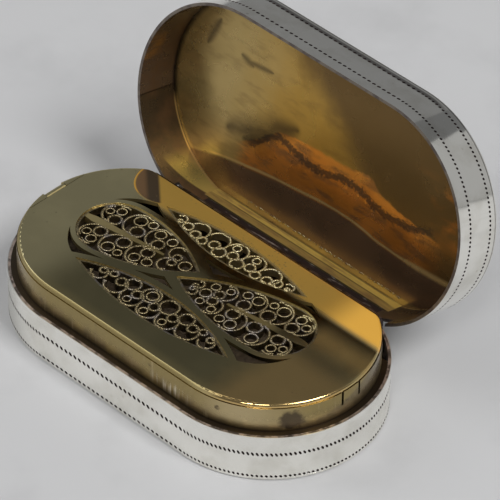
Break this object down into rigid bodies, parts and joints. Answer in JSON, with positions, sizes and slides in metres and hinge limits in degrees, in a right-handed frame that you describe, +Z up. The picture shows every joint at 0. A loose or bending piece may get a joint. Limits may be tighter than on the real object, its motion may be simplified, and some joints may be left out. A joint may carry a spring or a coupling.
{
  "type": "vinaigrette box",
  "caption": "Small oblong silver box with half-round ends, flush hinged lid, gilt inside and a hinged gilt filigree grille over a scented sponge.",
  "frame": {"origin": "middle of the foot, the flat underside of the base", "axes": "+X along the length, +Y towards the lid's hinge, +Z up from the foot"},
  "size_m": [0.038, 0.0293, 0.0242],
  "materials": {
    "silver": "polished silver with light wear",
    "tarnished_silver": "worn silver dulled by tarnish",
    "gilt": "polished gilding over silver",
    "gilt_wire": "gilt flat wire, dark in the recesses",
    "sponge": "old natural sponge, matt"
  },
  "bodies": {
    "base": {"base_plate": "silver", "base_wall": "silver", "bezel": "gilt", "base_hinge_bearer": "tarnished_silver", "base_knuckle_left": "tarnished_silver", "base_knuckle_centre": "tarnished_silver", "base_knuckle_right": "tarnished_silver", "lid_hinge_pin": "tarnished_silver", "grille_lug_front": "gilt", "grille_lug_rear": "gilt", "grille_hinge_pin": "tarnished_silver", "sponge": "sponge"},
    "lid": {"lid_plate": "silver", "lid_wall": "silver", "lid_hinge_bearer": "gilt", "lid_knuckle_left": "tarnished_silver", "lid_knuckle_right": "tarnished_silver"},
    "grille": {"grille_frame": "gilt", "grille_knuckle": "gilt", "left_lobe_wire": "gilt_wire", "right_lobe_wire": "gilt_wire", "rear_lens_wire": "gilt_wire", "front_lens_wire": "gilt_wire", "left_lobe_scrolls": "gilt_wire", "right_lobe_scrolls": "gilt_wire", "rear_lens_scrolls": "gilt_wire", "front_lens_scrolls": "gilt_wire", "left_lobe_spine": "gilt_wire", "right_lobe_spine": "gilt_wire"}
  },
  "joints": [
    {"name": "lid_hinge", "type": "hinge", "parent": "base", "child": "lid", "pos_m": [0, 0.00953, 0.00488], "axis": [1, 0, 0], "range_deg": [0, 103.6]},
    {"name": "grille_hinge", "type": "hinge", "parent": "base", "child": "grille", "pos_m": [-0.01758, 0, 0.00748], "axis": [0, -1, 0], "range_deg": [0, 2]}
  ]
}
